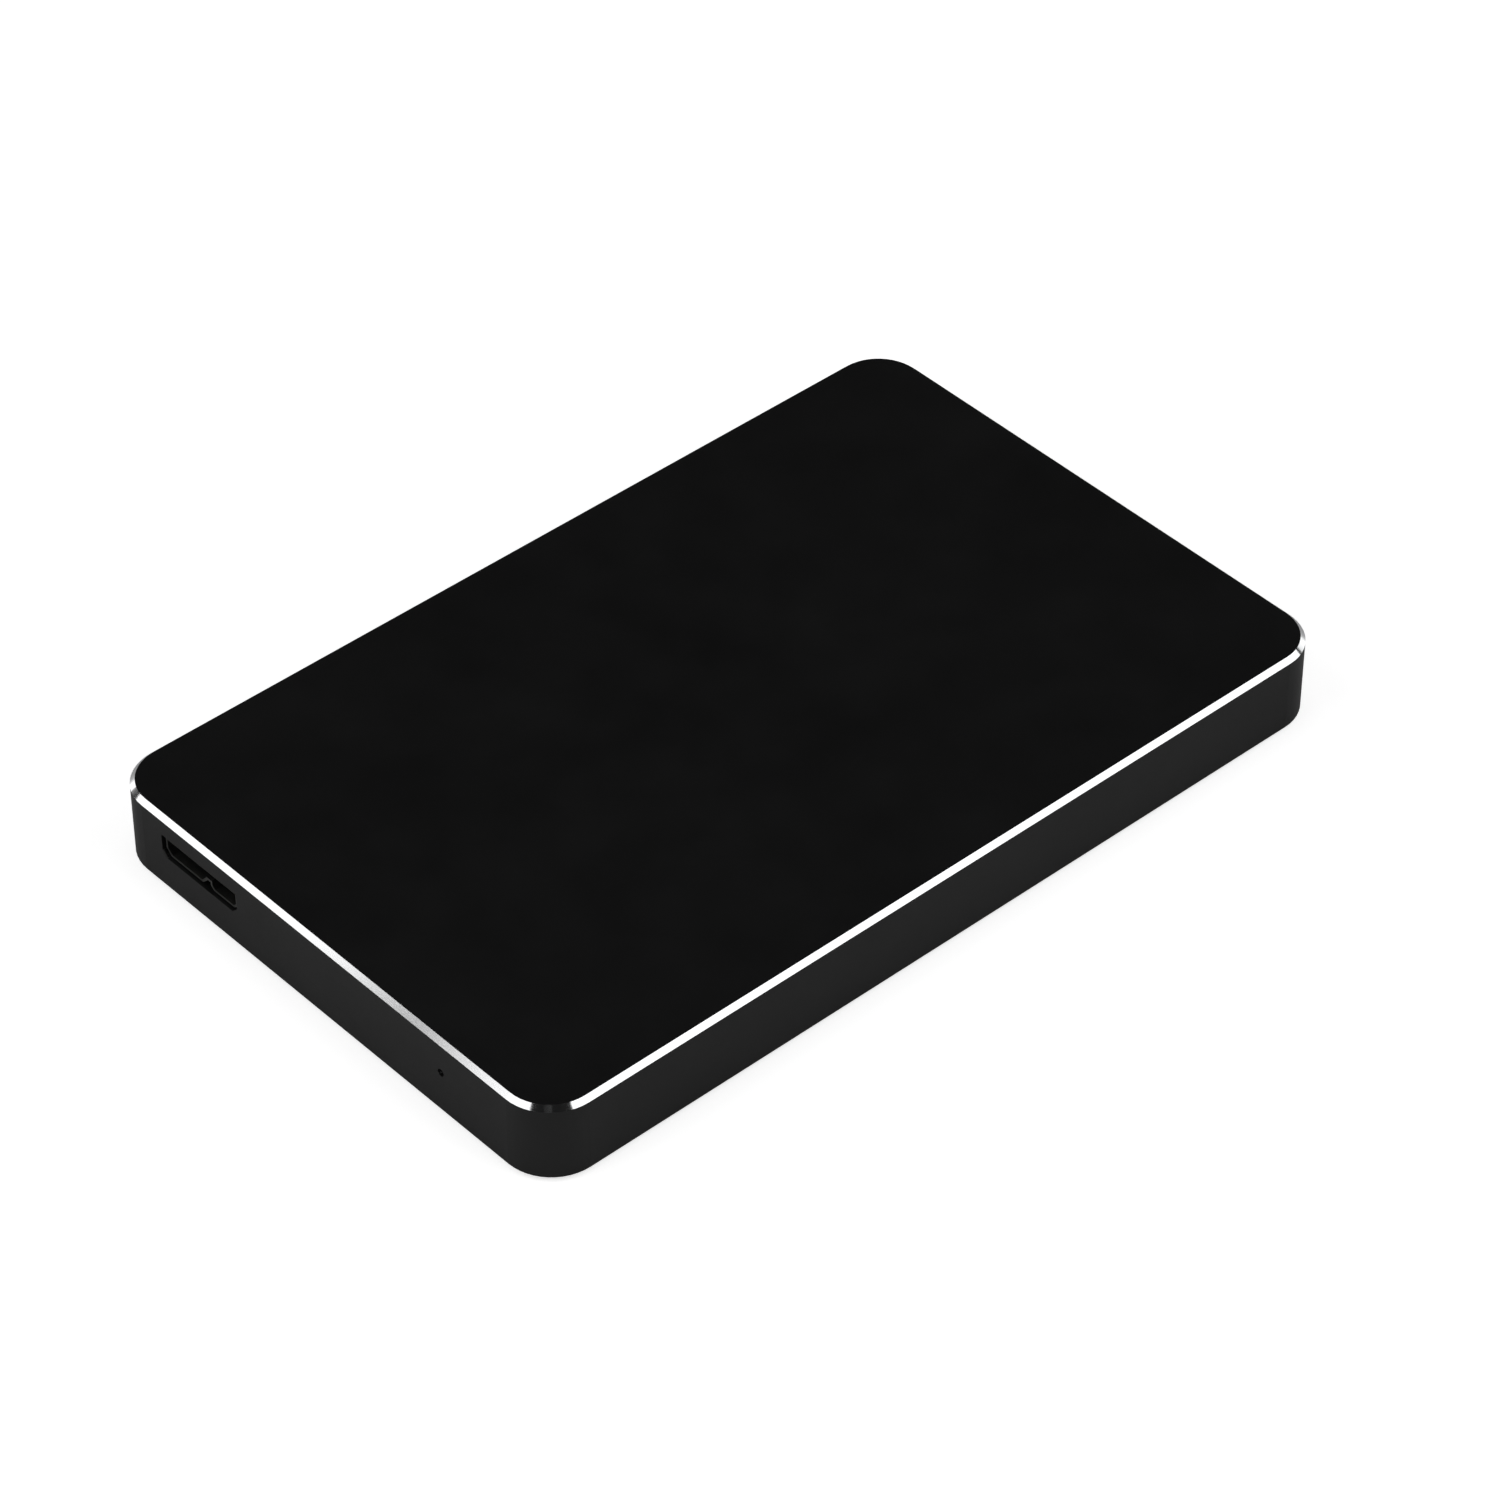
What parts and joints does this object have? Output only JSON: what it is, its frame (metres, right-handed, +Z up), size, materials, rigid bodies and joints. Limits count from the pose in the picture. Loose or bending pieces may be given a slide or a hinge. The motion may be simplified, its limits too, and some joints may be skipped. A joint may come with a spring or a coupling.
{
  "type": "portable solid state drive",
  "caption": "Slim pocket solid state drive in a black anodised case with a bright-cut edge, a micro-B socket and a tiny lamp hole; a SATA drive and its USB bridge board are inside.",
  "frame": {"origin": "centre of the footprint, on the plane that the four rubber feet stand on", "axes": "+Z up out of the roof; +Y along the length, from the socket end to the rear; +X to the right for someone who looks at the socket end"},
  "size_m": [0.076, 0.12, 0.011],
  "materials": {
    "anodised_case": "black anodised, fine satin, bright-cut chamfer",
    "cover_plastic": "fine moulded texture",
    "foot_rubber": "soft matte",
    "frame_plastic": "moulded",
    "brass": "knurled, machined",
    "screw_steel": "black-oxide steel screws",
    "foam": "closed-cell foam",
    "bridge_mask": "solder-masked circuit board",
    "chip_epoxy": "moulded epoxy",
    "crystal_can": "nickel-plated can",
    "ferrite": "sintered ferrite",
    "capacitor_body": "sintered ceramic",
    "resistor_body": "glazed ceramic",
    "port_shell": "dark nickel plated, folded sheet",
    "port_insulator": "moulded nylon",
    "contact_gold": "gold-plated spring strip",
    "lamp_body": "cast epoxy lamp",
    "clear_guide": "clear acrylic light guide",
    "socket_plastic": "moulded nylon",
    "drive_case": "bead-blasted casting",
    "drive_mask": "solder-masked circuit board",
    "thermal_pad": "soft silicone pad"
  },
  "bodies": {
    "root": {"top_shell": "anodised_case", "bottom_cover": "cover_plastic", "inner_frame": "frame_plastic", "thread_inserts": "brass", "cover_screws": "screw_steel", "top_foam_pad": "foam", "bottom_foam_pad": "foam", "bridge_board": "bridge_mask", "bridge_chip": "chip_epoxy", "firmware_chip": "chip_epoxy", "board_crystal": "crystal_can", "board_inductor": "ferrite", "board_regulator": "chip_epoxy", "board_capacitors": "capacitor_body", "board_resistors": "resistor_body", "board_screws": "screw_steel", "usb_shell": "port_shell", "usb_insulator": "port_insulator", "usb_contacts": "contact_gold", "activity_led": "lamp_body", "light_guide": "clear_guide", "sata_socket": "socket_plastic", "sata_socket_contacts": "contact_gold", "ssd_base": "drive_case", "ssd_lid": "drive_case", "ssd_lid_screws": "screw_steel", "ssd_board": "drive_mask", "ssd_board_screws": "screw_steel", "ssd_sata_plug": "socket_plastic", "ssd_plug_contacts": "contact_gold", "ssd_controller": "chip_epoxy", "ssd_memory_chip": "chip_epoxy", "ssd_power_chip": "chip_epoxy", "ssd_inductors": "ferrite", "ssd_capacitors": "capacitor_body", "controller_thermal_pad": "thermal_pad", "flash_thermal_pad": "thermal_pad", "foot_front_left": "foot_rubber", "foot_front_right": "foot_rubber", "foot_rear_left": "foot_rubber", "foot_rear_right": "foot_rubber", "flash_package_1": "chip_epoxy", "flash_package_2": "chip_epoxy", "flash_package_3": "chip_epoxy", "flash_package_4": "chip_epoxy"}
  },
  "joints": []
}
